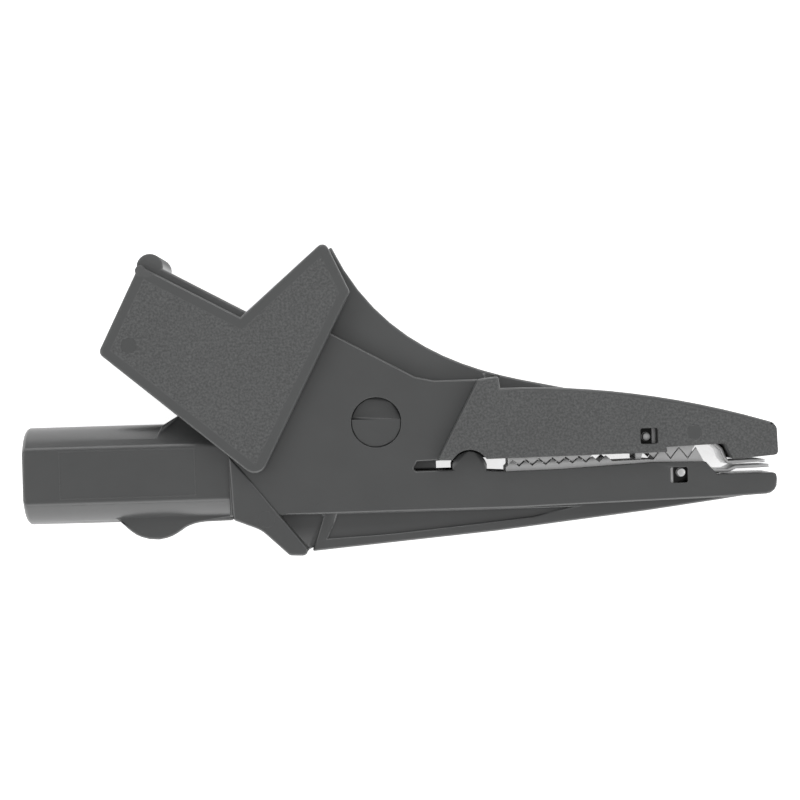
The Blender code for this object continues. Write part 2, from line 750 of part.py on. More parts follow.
def make_lever():
    """Return the lever moulding: side plates, thumb pad, core, hinge bosses and upper jaw."""
    lever = make_shell()
    join(lever, make_core())
    join(lever, make_jaw())
    front = cutout_front - LIP_SEAT
    cavity = [
        (cavity_rear, -CUTTER_REACH),
        (cavity_rear, roof),
        (cutout_rear - 6.2 * MM, roof - ROOF_FALL),
        (cutout_rear + 0.8 * MM, CUTOUT_TOP + 1.8 * MM),
        (front, CUTOUT_TOP + 0.6 * MM),
        (front, -CUTTER_REACH),
    ]
    cut(lever, prism("jaw_cavity", cavity, BODY_INSIDE))
    cut(lever, prism("upper_windows", window_outline(upper_window), CUTTER_REACH))
    return finish(lever, "thumb_lever", textured)


def add_pips(insert, name, centre):
    """Add the pressed pips that latch an insert in the windows."""
    half = PIP_HEIGHT / 2
    both_sides(
        join,
        insert,
        lambda side, z: round_bar(name + side, centre, PIP_RADIUS, half, z, 16),
        insert_outside - FUSE + half,
    )


def make_lower_insert():
    """Return the lower jaw's channel with its teeth, front lip and riveted tail."""
    lift = FLOOR_WALL + SEAT_GAP + SHEET / 2
    floor = LEDGE + lift
    tab_x = rivet_face + SEAT_GAP + SHEET / 2
    channel = ledge_line(cutout_rear - 2.7 * MM, lift)
    strip = [(tab_x, TUBE_AXIS + HEAD_RADIUS + SHEET), (tab_x, floor), *channel]
    insert = prism("lower_channel", thick_line(strip, SHEET), insert_outside)
    lip_y = NOSE_STEP + SEAT_GAP + LIP_SHEET / 2
    lip = [
        (channel[-1][0] - 2.0 * MM, channel[-1][1] - LIP_SEAT / 2),
        (channel[-1][0] + 0.1 * MM, channel[-1][1] + LIP_SEAT),
        (cutout_front - 2.7 * MM, lip_y + LIP_SEAT),
        (cutout_front + 0.6 * MM, lip_y),
        (cutout_front + 1.5 * MM, lip_y + LIP_SHEET),
        (lower_tip - 0.6 * MM, lip_y + LIP_SHEET + LIP_SEAT / 2),
    ]
    join(insert, prism("lower_lip", thick_line(lip, LIP_SHEET), LIP_HALF))
    fine, coarse = teeth_line()
    drop = TEETH_GAP / 2
    wall = [
        (teeth_start, floor - LIP_SEAT),
        *[(x, y - drop) for x, y in fine],
        (coarse_start - SHEET, fine[-1][1] - drop + LIP_SEAT),
        *[(x, y - drop) for x, y in coarse[:-1]],
        (cutout_rear + 0.95 * MM, LOWER_EDGE + 0.4 * MM),
        (cutout_rear + 0.5 * MM, NOSE_STEP + SHEET),
        (channel[-1][0] - 0.5 * MM, channel[-1][1] - LIP_SEAT),
    ]
    middle = insert_outside - SHEET / 2
    both_sides(
        join, insert, lambda side, z: prism("lower_teeth_" + side, wall, SHEET / 2, z), middle
    )
    add_pips(insert, "lower_pip_", (lower_window[0] + PIP_SHIFT, lower_window[1] + PIP_SHIFT))
    drill = STUB_RADIUS + SEAT_GAP
    ends = (tab_x - SHEET, tab_x + SHEET)
    cut(insert, turned("stub_hole", [(ends[0], 0), (ends[0], drill), (ends[1], drill), (ends[1], 0)]))
    return finish(insert, "lower_jaw_insert", steel)


def make_upper_insert():
    """Return the upper jaw's channel with its teeth and front lip."""
    top = roof - SEAT_GAP - SHEET / 2
    start = teeth_start + FUSE
    bend = (cutout_rear - 6.2 * MM, top - ROOF_FALL)
    strip = [(start, top), bend, (cutout_rear + 0.4 * MM, CUTOUT_TOP + 1.1 * MM)]
    insert = prism("upper_channel", thick_line(strip, SHEET), insert_outside - LIP_SEAT / 2)
    lip_y = PARTING - NOSE_DROP - SEAT_GAP - LIP_SHEET / 2
    lip = [
        (cutout_rear - 1.0 * MM, CUTOUT_TOP + 1.4 * MM),
        (cutout_rear + 1.6 * MM, CUTOUT_TOP + 0.3 * MM),
        (cutout_front - 0.55 * MM, CUTOUT_TOP - 0.8 * MM),
        (cutout_front - LIP_SEAT, lip_y + 0.45 * MM),
        (cutout_front + 0.6 * MM, lip_y),
        (UPPER_TIP - 2.0 * MM, lip_y + 1.5 * LIP_SEAT),
        (UPPER_TIP - 1.1 * MM, lip_y + LIP_SEAT / 3),
    ]
    join(insert, prism("upper_lip", thick_line(lip, LIP_SHEET), LIP_HALF))
    fine, coarse = teeth_line()
    lift = TEETH_GAP / 2
    post_rear, post_front = coarse_start - POST[0], coarse_start - POST[1]
    wall = [
        (start + LIP_SEAT, top + LIP_SEAT),
        (start + LIP_SEAT, fine[0][1] + lift),
        *[(x, y + lift) for x, y in fine[1:-4]],
        (fine[-4][0], PARTING + SEAT_GAP),
        (post_rear, PARTING + SEAT_GAP),
        (post_rear, PARTING - POST_DROP),
        (post_front, PARTING - POST_DROP),
        (post_front + LIP_SEAT, PARTING + FUSE),
        (coarse_start - SHEET, PARTING + FUSE),
        *[(x, y + lift) for x, y in coarse[:-2]],
        (cutout_rear, CUTOUT_TOP - LIP_SEAT),
        (cutout_rear, CUTOUT_TOP + 1.2 * MM),
        (bend[0], bend[1] + LIP_SEAT),
    ]
    middle = insert_outside - SHEET / 2
    both_sides(
        join, insert, lambda side, z: prism("upper_teeth_" + side, wall, SHEET / 2, z), middle
    )
    add_pips(insert, "upper_pip_", (upper_window[0] - PIP_SHIFT / 2, upper_window[1] - LIP_SEAT))
    return finish(insert, "upper_jaw_insert", steel)


def make_contact():
    """Return the turned contact: flange, socket, and the stub riveted over the insert's tail."""
    head = rivet_face + SHEET + 2 * SEAT_GAP
    bottom = BULKHEAD_FRONT - CONTACT_WEB
    profile = [
        (bottom, 0),
        (bottom, CONTACT_BORE),
        (flange_rear + CONTACT_SHOULDER, CONTACT_BORE),
        (flange_rear, CONTACT_BORE + CONTACT_SHOULDER),
        (flange_rear, flange_radius),
        (flange_rear + FLANGE_THICKNESS, flange_radius),
        (flange_rear + FLANGE_THICKNESS, CONTACT_RADIUS),
        (rivet_face, CONTACT_RADIUS),
        (rivet_face, STUB_RADIUS),
        (head, STUB_RADIUS),
        (head, HEAD_RADIUS),
        (head + HEAD_THICKNESS * 0.6, HEAD_RADIUS * 0.8),
        (head + HEAD_THICKNESS, HEAD_RADIUS * 0.35),
        (head + HEAD_THICKNESS, 0),
    ]
    return finish(turned("contact_turning", profile), "socket_contact", brass)


def tangent_angle(end, side):
    """Return where on the coil a straight leg to an end point leaves it."""
    reach = math.hypot(*end)
    return math.atan2(end[1], end[0]) + side * math.acos(coil_radius / reach)


def make_spring():
    """Return the torsion spring: one leg on the lower insert, one under the lever's rear wall."""
    lower_end = (LOWER_LEG, floor_top + SEAT_GAP + SHEET + RUN_GAP + WIRE / 2)
    start = tangent_angle(lower_end, 1)
    finish_angle = tangent_angle(UPPER_LEG, -1)
    turn = (finish_angle - start) % (2 * math.pi) + 2 * math.pi * COIL_TURNS
    half_height = COIL_PITCH * turn / (4 * math.pi)
    steps = 16 * (COIL_TURNS + 1)
    points = [(*lower_end, -half_height)]
    for step in range(steps + 1):
        angle = start + turn * step / steps
        height = -half_height + 2 * half_height * step / steps
        points.append((coil_radius * math.cos(angle), coil_radius * math.sin(angle), height))
    points.append((*UPPER_LEG, half_height))
    curve = bpy.data.curves.new("torsion_spring", "CURVE")
    curve.dimensions = "3D"
    curve.bevel_depth = WIRE / 2
    curve.bevel_resolution = 2
    curve.use_fill_caps = True
    spline = curve.splines.new("POLY")
    spline.points.add(len(points) - 1)
    for knot, place in zip(spline.points, points):
        knot.co = (*place, 1)
    spring = bpy.data.objects.new("torsion_spring", curve)
    return finish(spring, "torsion_spring", spring_wire)


def set_down(pieces):
    """Put the middle of the outline at the origin and the lowest face on Z = 0."""
    bpy.context.view_layer.update()
    depsgraph = bpy.context.evaluated_depsgraph_get()
    corners = []
    for piece in pieces:
        mesh = bpy.data.meshes.new_from_object(piece.evaluated_get(depsgraph))
        corners.extend(piece.matrix_world @ vertex.co for vertex in mesh.vertices)
        bpy.data.meshes.remove(mesh)
    low = [min(corner[axis] for corner in corners) for axis in range(3)]
    high = [max(corner[axis] for corner in corners) for axis in range(3)]
    clip.location = (-(low[0] + high[0]) / 2, -(low[1] + high[1]) / 2, -low[2])


for leftover in list(bpy.data.objects):
    bpy.data.objects.remove(leftover)

parts = make_collection("crocodile_clip")
tools = make_collection("cutters")
clip = bpy.data.objects.new("hinge_axis", None)
parts.objects.link(clip)

plastic = make_material("smooth_plastic", (0.09, 0.09, 0.09), 0.45, 0)
textured = make_material("textured_plastic", (0.11, 0.11, 0.11), 0.6, 0)
steel = make_material("plated_steel", (0.6, 0.6, 0.6), 0.35, 1)
brass = make_material("plated_brass", (0.7, 0.68, 0.6), 0.25, 1)
spring_wire = make_material("spring_wire", (0.45, 0.45, 0.45), 0.3, 1)

pieces = [
    make_body(),
    make_lever(),
    make_lower_insert(),
    make_upper_insert(),
    make_contact(),
    make_spring(),
]
set_down(pieces)
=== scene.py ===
"""Looks of an insulated crocodile clip that lies on its side on a white table.

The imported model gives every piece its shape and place.  Each operator here dresses one piece, or
a group of like pieces: the moulded edges are rounded, the small marks that the mould leaves are
added, and each surface gets its finish.  The last operator sets up the table, the light and the
camera.
"""

import json
import math

import bmesh
import bpy
from bpy.props import FloatProperty, FloatVectorProperty, IntProperty, PointerProperty
from mathutils import Matrix, Vector


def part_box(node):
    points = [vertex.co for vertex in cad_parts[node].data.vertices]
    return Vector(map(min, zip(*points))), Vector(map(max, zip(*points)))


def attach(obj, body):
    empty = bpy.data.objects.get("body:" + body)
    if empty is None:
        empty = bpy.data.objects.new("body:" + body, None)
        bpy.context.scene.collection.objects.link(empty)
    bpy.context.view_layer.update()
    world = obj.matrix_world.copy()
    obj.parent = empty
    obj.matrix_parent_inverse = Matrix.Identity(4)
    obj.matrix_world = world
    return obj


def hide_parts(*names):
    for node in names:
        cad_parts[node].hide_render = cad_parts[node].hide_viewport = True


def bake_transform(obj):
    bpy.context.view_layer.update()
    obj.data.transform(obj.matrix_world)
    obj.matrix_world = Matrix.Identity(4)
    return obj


bl_info = {
    "name": "Crocodile clip finish",
    "version": (1, 0, 0),
    "blender": (4, 5, 0),
    "location": "View3D > Sidebar > Clip",
    "description": "Dresses the pieces of an insulated crocodile clip and sets up its stage",
    "category": "Object",
}

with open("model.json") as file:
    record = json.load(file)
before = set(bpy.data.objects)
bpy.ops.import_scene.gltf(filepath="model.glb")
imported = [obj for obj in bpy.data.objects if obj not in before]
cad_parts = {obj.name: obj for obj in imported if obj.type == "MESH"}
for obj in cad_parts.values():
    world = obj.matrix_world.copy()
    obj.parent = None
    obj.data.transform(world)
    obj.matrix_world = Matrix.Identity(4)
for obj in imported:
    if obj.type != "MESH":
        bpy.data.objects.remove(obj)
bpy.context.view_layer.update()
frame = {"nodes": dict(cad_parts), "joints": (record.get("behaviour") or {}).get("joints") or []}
HINGE = Vector(frame["joints"][0]["pos_m"])
MM = 0.001

# Sizes are in millimetres, and a place is given from the hinge along X and Y.  They were read
# from the photograph, apart from those that tell which points of the model belong to a form.

# Corners of the lever's side plates, round their textured field
PLATE_CORNERS = {
    "heel": (-33.6, 9.4),
    "toe": (-14.44, -6.63),
    "shoulder": (-2.66, 15.98),
    "peak": (-5.68, 22.4),
    "crotch": (-16.15, 13.24),
    "brow": (-28.3, 19.9),
}

# Sides of the textured field on the upper jaw, its raised corner at the cheeks, and the width of
# the smooth border round it.  The texture of every field starts over the width of the blur.
JAW_FIELD_TOP = ((15.3, 3.76), (26.0, 3.3), (37.0, 1.45), (47.5, -1.1))
JAW_FIELD_REAR = ((7.2, -4.9), (12.5, 4.95))
JAW_FIELD_LOW = ((7.2, -5.1), (47.5, -6.3))
JAW_FIELD_CORNER = (15.35, 5.0)
JAW_BORDER = 0.2
FIELD_BLUR = 0.16

# Round marks of the mould's pins.  The texture round them starts between the last two radii.
LEVER_MARK, LEVER_MARK_RADIUS = (-29.8, 10.2), 0.9
JAW_MARK, JAW_MARK_RADIUS = (38.7, -2.3), 0.85
GUARD_MARK, GUARD_MARK_RADIUS = (-13.7, -11.5), 1.0
MARK_CLEAR = (0.85, 0.95)

# How deep the foot of a mark or a bar reaches into its face, how much of its height is rounded,
# and the sides of a round mark
MARK_ROOT = 0.2
MARK_ROUND, BAR_ROUND = 0.8, 0.6
MARK_SIDES = 48

# Frame of the bare label place on the tube, and how far the tube's flat lies from the middle
LABEL_FRAME = ((-39.05, -8.4), (-22.3, -2.45))
TUBE_FLAT = 5.02

# The bosses' ends get painted shade, darker as if shaded in their holes, and the end of the thumb
# pad's bead is more matt. Each changes from the first radius to the second.
BOSS_PAINTED_SHADE_RADII = (3.2, 3.1)
BEAD, BEAD_DULL = (-27.5, 20.6), (2.2, 1.9)

# Windows of the jaws, where painted shade darkens the gap round each latch pip: half their width,
# the pips, and the strip beside those that the painted shade leaves out
UPPER_WINDOW, UPPER_PIP = (33.2, -2.6), (33.05, -2.7)
LOWER_WINDOW, LOWER_PIP = (36.9, -7.5), (37.2, -7.2)
WINDOW_HALF, PIP_RADIUS, UNSHADED_STRIP, WINDOW_BLUR = 1.1, 0.5, 0.55, 0.1

# Edges within these bounds, at the hinge, the ears and the mouth, are rounded finely
HINGE_REACH = 3.2
EAR, EAR_REACH = (11.27, -6.05), 2.6
MOUTH_REAR, MOUTH_LOW, MOUTH_TOP = 5.0, -9.0, -1.6

# The finger stop's points lie this far from the middle plane, behind its front and below its
# root, and its outline runs from the rear to the front
STOP_HALF, STOP_FRONT, STOP_ROOT = 2.6, -17.2, -11.7
STOP_OUTLINE = (
    (-31.1, -12.26),
    (-30.6, -12.69),
    (-30.0, -13.11),
    (-29.3, -13.42),
    (-28.4, -13.67),
    (-27.2, -13.75),
    (-26.3, -13.59),
    (-25.6, -13.36),
    (-25.0, -13.04),
    (-24.5, -12.71),
    (-24.0, -12.36),
    (-23.5, -12.13),
    (-22.9, -11.92),
    (-22.2, -11.77),
    (-21.4, -11.68),
    (-17.95, -11.62),
)

# The floor of the spine's recess becomes shallower, and the top of the hump on the tube half as
# wide.  The tops of the ears and the hinge's bosses grow, the lower tip gets longer, and the upper
# nose stays within a round.
RECESS_FLOOR, RECESS_SHALLOW, RECESS_TOP = 2.9, 3.7, -10.9
HUMP_HALF, HUMP_FRONT, HUMP_TOP = 4.2, -16.2, 0.9
EAR_RADIUS, EAR_GROWTH = 2.1, 0.1
BOSS_START, BOSS_RADIUS, BOSS_GROWTH = 4.1, 3.0, 0.04
LOWER_TIP, TIP_GROWTH = 46.0, 0.25
NOSE_MIDDLE, NOSE_RADIUS = (47.05, -2.65), 1.8

# Rows of teeth, which close up, and the bend of the upper lip, which moves forward
TEETH_REAR, TEETH_FRONT, TEETH_CLOSE = 15.0, 39.4, 0.09
LOWER_TEETH, UPPER_TEETH = -6.4, -3.9
LIP_BEND, LIP_TOP, LIP_HALF, LIP_SHIFT = (40.3, 42.9), -2.9, 3.7, 0.35

# Points this close together are merged, shorter edges are removed, and sizes this close are equal
MERGE = 0.002
SHORTEST_EDGE = 0.12
CLOSE = 0.03

# Smaller bends than the first are flat, and edges are rounded from the second on.  The rim of a
# round mark bends more than the third.
FLAT_BEND, SHARP_BEND, RIM_BEND = math.radians(1), math.radians(28), 1.0

# How much the large faces weigh in the shading of the rounded edges beside them, in percent
FACE_WEIGHT = 100

# Plastic: its darkest and lightest shade as shares of its colour, its tone between them, and what
# changes its tone and its roughness
PLASTIC_SHADES, MIDDLE_TONE = (0.62, 1.5), 0.48
CLOUD_CONTRAST, GRAIN_CONTRAST, GRAIN_SHADE = 0.25, 2.6, 0.12
# How much darker the pins' marks are, and how much painted shade darkens the bosses' ends
MARK_SHADE, BOSS_PAINTED_SHADE = 0.1, 0.2
SMOOTH_ROUGHNESS, GRAIN_ROUGHNESS, FLOW_ROUGHNESS, BEAD_ROUGHNESS = 0.32, 0.28, 0.08, 0.4
CLOUD_SIZE, FLOW_SIZE, FLOW_DEPTH, PIT_DEPTH = 6.0, 1.2, 0.004, 0.03

# Metals: the darkest and lightest shade of each, the size of its clouds, the size and depth of
# the marks that rolling, turning or drawing leaves, and its roughness with what the marks add
# Nickel's darkest shade is only reached in the painted shade round the windows' pips
NICKEL_SHADES, NICKEL_TONE, NICKEL_CONTRAST, NICKEL_CLOUD = (0.02, 1.12), 0.75, 0.15, 2.5
ROLLED_SIZE, ROLLED_LENGTH, ROLLED_DEPTH = 0.12, 14, 0.003
NICKEL_ROUGHNESS, ROLLED_ROUGHNESS, CLOUD_ROUGHNESS = 0.26, 0.12, 0.08
BRASS_SHADES, BRASS_CLOUD = (0.85, 1.12), 1.5
RING_SIZE, RING_LENGTH, RING_DEPTH = 0.1, 30, 0.003
BRASS_ROUGHNESS, RING_ROUGHNESS = 0.2, 0.14
WIRE_SHADES, WIRE_CLOUD = (0.75, 1.2), 0.6
SCRATCH_SIZE, SCRATCH_DEPTH = 0.08, 0.002
WIRE_ROUGHNESS, SCRATCH_ROUGHNESS = 0.28, 0.14

# Stage, in metres and watts: each lamp's place, size and power, the sky and the table
LAMPS = {
    "lamp_back": ((0.0, 0.37, 0.29), (0.9, 0.2), 1.0),
    "lamp_front": ((0.0, -0.37, 0.27), (0.9, 0.2), 1.0),
    "lamp_low_front": ((0.0, -0.5, 0.07), (0.9, 0.1), 0.5),
    "lamp_tail": ((-0.37, 0.0, 0.25), (0.2, 0.4), 0.33),
    "lamp_tip": ((0.37, 0.0, 0.25), (0.2, 0.4), 0.33),
}
SKY_STRENGTH = 0.4
TABLE_HALF, TABLE_DROP, TABLE_ROUGHNESS, TABLE_GLOW = 2.0, 0.05 * MM, 0.9, 0.72

# Camera, straight above the middle of the view: its distance, the view's width and its turn
CAMERA_DISTANCE, VIEW_WIDTH, SENSOR_WIDTH, NEAREST = 0.31, 97.36 * MM, 36.0, 0.01
VIEW_MIDDLE, VIEW_TURN = (2.998, 2.653), math.radians(-1.65)

# Sockets of a Mix node that blends colours
MIX_SHARE, MIX_FIRST, MIX_SECOND, MIX_RESULT = 0, 6, 7, 2


def from_hinge(place, height=0.0):
    """Return a point of the frame from millimetres around the hinge."""
    return HINGE + Vector((place[0], place[1], height)) * MM


class ClipSizes(bpy.types.PropertyGroup):
    """Sizes of the details that the mould and the finish add."""

    mould_round: FloatProperty(
        name="Moulded edge",
        description="Radius of the outer edges of the two mouldings",
        default=0.28 * MM,
        min=0.0,
        unit="LENGTH",
        precision=5,
    )
    sheet_round: FloatProperty(
        name="Sheet edge",
        description="Radius of the edges of the stamped inserts",
        default=0.06 * MM,
        min=0.0,
        unit="LENGTH",
        precision=5,
    )
    fine_round: FloatProperty(
        name="Fine edge",
        description="Radius of the edges at the hinge and the ears",
        default=0.07 * MM,
        min=0.0,
        unit="LENGTH",
        precision=5,
    )
    turned_round: FloatProperty(
        name="Turned edge",
        description="Radius of the edges of the turned contact",
        default=0.12 * MM,
        min=0.0,
        unit="LENGTH",
        precision=5,
    )
    round_steps: IntProperty(
        name="Steps in an edge",
        description="Faces across each rounded edge",
        default=3,
        min=1,
        max=6,
    )
    border: FloatProperty(
        name="Smooth border",
        description="Width of the smooth border round each textured field",
        default=1.25 * MM,
        min=0.0,
        unit="LENGTH",
        precision=5,
    )
    grain: FloatProperty(
        name="Grain size",
        description="Size of the pits in the textured fields",
        default=0.28 * MM,
        min=0.01 * MM,
        unit="LENGTH",
        precision=5,
    )
    mark_rise: FloatProperty(
        name="Mark height",
        description="How far the marks of the mould's pins stand proud",
        default=0.04 * MM,
        min=0.0,
        unit="LENGTH",
        precision=5,
    )
    frame_line: FloatProperty(
        name="Label frame line",
        description="Width of the frame round the bare label place on the tube",
        default=0.16 * MM,
        min=0.0,
        unit="LENGTH",
        precision=5,
    )


class ClipColours(bpy.types.PropertyGroup):
    """Colours of the clip and its table."""

    body_plastic: FloatVectorProperty(
        name="Body plastic",
        description="Dark grey of the smooth moulding",
        default=(0.059, 0.0605, 0.0605),
        subtype="COLOR",
        min=0.0,
        max=1.0,
    )
    lever_plastic: FloatVectorProperty(
        name="Lever plastic",
        description="Dark grey of the textured moulding",
        default=(0.068, 0.07, 0.07),
        subtype="COLOR",
        min=0.0,
        max=1.0,
    )
    nickel: FloatVectorProperty(
        name="Nickel plate",
        description="Colour of the plated steel inserts",
        default=(0.93, 0.92, 0.9),
        subtype="COLOR",
        min=0.0,
        max=1.0,
    )
    contact: FloatVectorProperty(
        name="Plated brass",
        description="Colour of the turned contact",
        default=(0.72, 0.69, 0.62),
        subtype="COLOR",
        min=0.0,
        max=1.0,
    )
    wire: FloatVectorProperty(
        name="Spring wire",
        description="Colour of the spring",
        default=(0.46, 0.46, 0.47),
        subtype="COLOR",
        min=0.0,
        max=1.0,
    )
    table: FloatVectorProperty(
        name="Table",
        description="Colour of the table and its surroundings",
        default=(1.0, 1.0, 1.0),
        subtype="COLOR",
        min=0.0,
        max=1.0,
    )


class Number:
    """A socket whose arithmetic adds the Math nodes of its material."""

    def __init__(self, finish, socket):
        self.finish = finish
        self.socket = socket

    def apply(self, operation, *others, clamp=False):
        """Return the result of one Math node."""
        settings = {"operation": operation, "use_clamp": clamp}
        node = self.finish.add("ShaderNodeMath", settings, dict(enumerate((self, *others))))
        return Number(self.finish, node.outputs[0])

    def __add__(self, other):
        return self.apply("ADD", other)

    __radd__ = __add__

    def __sub__(self, other):
        return self.apply("SUBTRACT", other)

    def __rsub__(self, other):
        return self.apply("MULTIPLY_ADD", -1.0, other)

    def __mul__(self, other):
        return self.apply("MULTIPLY", other)

    __rmul__ = __mul__

    def __neg__(self):
        return self.apply("MULTIPLY", -1.0)

    def least(self, other):
        """Return the smaller of two numbers."""
        return self.apply("MINIMUM", other)

    def most(self, other):
        """Return the larger of two numbers."""
        return self.apply("MAXIMUM", other)

    def size(self):
        """Return a number without its sign."""
        return self.apply("ABSOLUTE")

    def clamped(self):
        """Return a number kept between 0 and 1."""
        return self.apply("ADD", 0.0, clamp=True)

    def rise(self, start, end):
        """Return 0 at a start, 1 at an end and beyond it, and a straight slope between them."""
        return self.apply("MULTIPLY_ADD", 1 / (end - start), -start / (end - start), clamp=True)


class Finish:
    """The nodes of one material, built around a Principled shader."""

    def __init__(self, name):
        self.material = bpy.data.materials.new(name)
        self.material.use_nodes = True
        self.tree = self.material.node_tree
        self.shader = self.tree.nodes["Principled BSDF"]
        self.places = self.add("ShaderNodeTexCoord").outputs["Object"]
        split = self.add("ShaderNodeSeparateXYZ", {}, {0: self.places})
        self.x, self.y = (Number(self, socket) for socket in split.outputs[:2])

    def add(self, kind, settings=None, inputs=None):
        """Add a node, set it up, and fill its sockets with values or links."""
        node = self.tree.nodes.new(kind)
        for name, value in (settings or {}).items():
            setattr(node, name, value)
        for name, value in (inputs or {}).items():
            self.fill(node.inputs[name], value)
        return node

    def fill(self, socket, value):
        """Put a value or a link into a socket."""
        if isinstance(value, Number):
            value = value.socket
        if isinstance(value, bpy.types.NodeSocket):
            self.tree.links.new(value, socket)
        else:
            socket.default_value = value

    def cover(self, values):
        """Put values or links into the sockets of the Principled shader."""
        for name, value in values.items():
            self.fill(self.shader.inputs[name], value)

    def scaled(self, sizes):
        """Return the places on a piece, counted in steps of a size along each axis."""
        inputs = {"Vector": self.places, "Scale": [1 / size for size in sizes]}
        return self.add("ShaderNodeMapping", {}, inputs).outputs[0]

    def noise(self, size, detail=2.0, roughness=0.5, stretch=(1, 1, 1)):
        """Return noise with features of a size, in metres, stretched along each axis."""
        places = self.scaled([size * along for along in stretch])
        inputs = {"Vector": places, "Scale": 1.0, "Detail": detail, "Roughness": roughness}
        node = self.add("ShaderNodeTexNoise", {}, inputs)
        return Number(self, node.outputs[0])

    def cells(self, size):
        """Return the distance to the middle of cells of a size, in metres."""
        inputs = {"Vector": self.scaled([size] * 3), "Scale": 1.0}
        node = self.add("ShaderNodeTexVoronoi", {}, inputs)
        return Number(self, node.outputs["Distance"])

    def blend(self, share, first, second):
        """Return a colour between two others."""
        inputs = {MIX_SHARE: share, MIX_FIRST: (*first, 1.0), MIX_SECOND: (*second, 1.0)}
        return self.add("ShaderNodeMix", {"data_type": "RGBA"}, inputs).outputs[MIX_RESULT]

    def bump(self, height, depth, normal=None):
        """Return a normal from a height of 0 to 1 that stands for a depth in metres."""
        inputs = {"Height": height, "Distance": depth, "Strength": 1.0}
        if normal is not None:
            inputs["Normal"] = normal
        return self.add("ShaderNodeBump", {}, inputs).outputs[0]

    def away_from(self, place):
        """Return the distance from a line along the hinge's direction through a place."""
        middle = from_hinge(place)
        across, along = self.x - middle.x, self.y - middle.y
        return (across * across + along * along).apply("SQRT")

    def spot(self, place, radii):
        """Return 0 at one radius round a place, 1 at the other, and a slope between them."""
        start, end = radii
        return self.away_from(place).rise(start * MM, end * MM)

    def beyond(self, start, end):
        """Return how far a point lies to the left of the way from one place to another."""
        a, b = from_hinge(start), from_hinge(end)
        way = (b - a).normalized()
        offset = -(a.x * -way.y + a.y * way.x)
        return self.x * -way.y + self.y * way.x + offset


def shades(colour, factors):
    """Return a colour made darker or lighter by each of some factors."""
    return [[min(channel * factor, 1.0) for channel in colour] for factor in factors]


def mould_skin(finish, colour, field, grain, marks_and_painted_shade=0.0, matt=0.0):
    """Give a moulding its plastic: textured where field is 1, darker by its marks and painted
    shade, rougher by matt.
    """
    cloud = finish.noise(CLOUD_SIZE * MM, detail=3.0)
    speck = finish.noise(grain, roughness=0.6)
    pits = finish.cells(grain)
    flow = finish.noise(FLOW_SIZE * MM)
    smooth = (cloud - 0.5) * CLOUD_CONTRAST + (MIDDLE_TONE - marks_and_painted_shade)
    grainy = ((speck - 0.5) * GRAIN_CONTRAST - GRAIN_SHADE) * field
    share = (smooth + grainy).clamped()
    rough = SMOOTH_ROUGHNESS + field * GRAIN_ROUGHNESS + matt + (flow - 0.5) * FLOW_ROUGHNESS
    waves = finish.bump(flow, FLOW_DEPTH * MM)
    finish.cover(
        {
            "Base Color": finish.blend(share, *shades(colour, PLASTIC_SHADES)),
            "Roughness": rough,
            "Normal": finish.bump((pits + speck) * field, PIT_DEPTH * MM, waves),
            "Specular IOR Level": 1.0,
        }
    )


def plate_depth(finish):
    """Return how far inside the outline of the lever's side plates a point lies."""
    corner = PLATE_CORNERS
    depth = finish.beyond(corner["peak"], corner["crotch"]).most(
        finish.beyond(corner["crotch"], corner["brow"])
    )
    sides = (("heel", "toe"), ("toe", "shoulder"), ("shoulder", "peak"), ("brow", "heel"))
    for start, end in sides:
        depth = depth.least(finish.beyond(corner[start], corner[end]))
    return depth


def jaw_depth(finish):
    """Return how far inside the textured outline of the upper jaw a point lies."""
    depth = -finish.beyond(*JAW_FIELD_TOP[:2])
    for start, end in zip(JAW_FIELD_TOP[1:], JAW_FIELD_TOP[2:]):
        depth = depth.least(-finish.beyond(start, end))
    below_corner = -finish.beyond((0.0, JAW_FIELD_CORNER[1]), JAW_FIELD_CORNER)
    behind_corner = from_hinge(JAW_FIELD_CORNER).x - finish.x
    depth = depth.most(below_corner.least(behind_corner))
    return depth.least(-finish.beyond(*JAW_FIELD_REAR)).least(finish.beyond(*JAW_FIELD_LOW))


def lever_finish():
    """Return the lever's plastic, with a textured field on its plates and its jaw, and painted
    shade on its bosses' ends.
    """
    sizes, colours = bpy.context.scene.clip_sizes, bpy.context.scene.clip_colours
    finish = Finish("textured_plastic")
    half_blur = FIELD_BLUR * MM / 2
    plate_field = plate_depth(finish).rise(sizes.border - half_blur, sizes.border + half_blur)
    jaw_field = jaw_depth(finish).rise(JAW_BORDER * MM, (JAW_BORDER + FIELD_BLUR) * MM)
    outside_marks = finish.spot(LEVER_MARK, MARK_CLEAR).least(finish.spot(JAW_MARK, MARK_CLEAR))
    field = plate_field.most(jaw_field) * outside_marks
    # Painted shade: the bosses' ends are darkened as if shaded in their holes
    boss_painted_shade = finish.spot((0.0, 0.0), BOSS_PAINTED_SHADE_RADII)
    marks_and_painted_shade = (1.0 - outside_marks) * MARK_SHADE + boss_painted_shade * BOSS_PAINTED_SHADE
    matt = finish.spot(BEAD, BEAD_DULL) * BEAD_ROUGHNESS
    mould_skin(finish, colours.lever_plastic, field, sizes.grain, marks_and_painted_shade, matt)
    return finish.material


def body_finish():
    """Return the body's smooth plastic."""
    sizes, colours = bpy.context.scene.clip_sizes, bpy.context.scene.clip_colours
    finish = Finish("smooth_plastic")
    mould_skin(finish, colours.body_plastic, 0.0, sizes.grain)
    return finish.material


def painted_gap_shade(finish, window, pip, away):
    """Return painted shade: 1 in the gap round a window's pip, and 0 in the strip on one side of
    it that stays unshaded.
    """
    middle = from_hinge(window)
    along, across = finish.x - middle.x, finish.y - middle.y
    reach = along.size().most(across.size())
    inside = reach.rise((WINDOW_HALF + WINDOW_BLUR) * MM, WINDOW_HALF * MM)
    strip = (along * away).rise(UNSHADED_STRIP * MM, (UNSHADED_STRIP + WINDOW_BLUR) * MM)
    return finish.spot(pip, (PIP_RADIUS, PIP_RADIUS + WINDOW_BLUR)) * inside * (1.0 - strip)


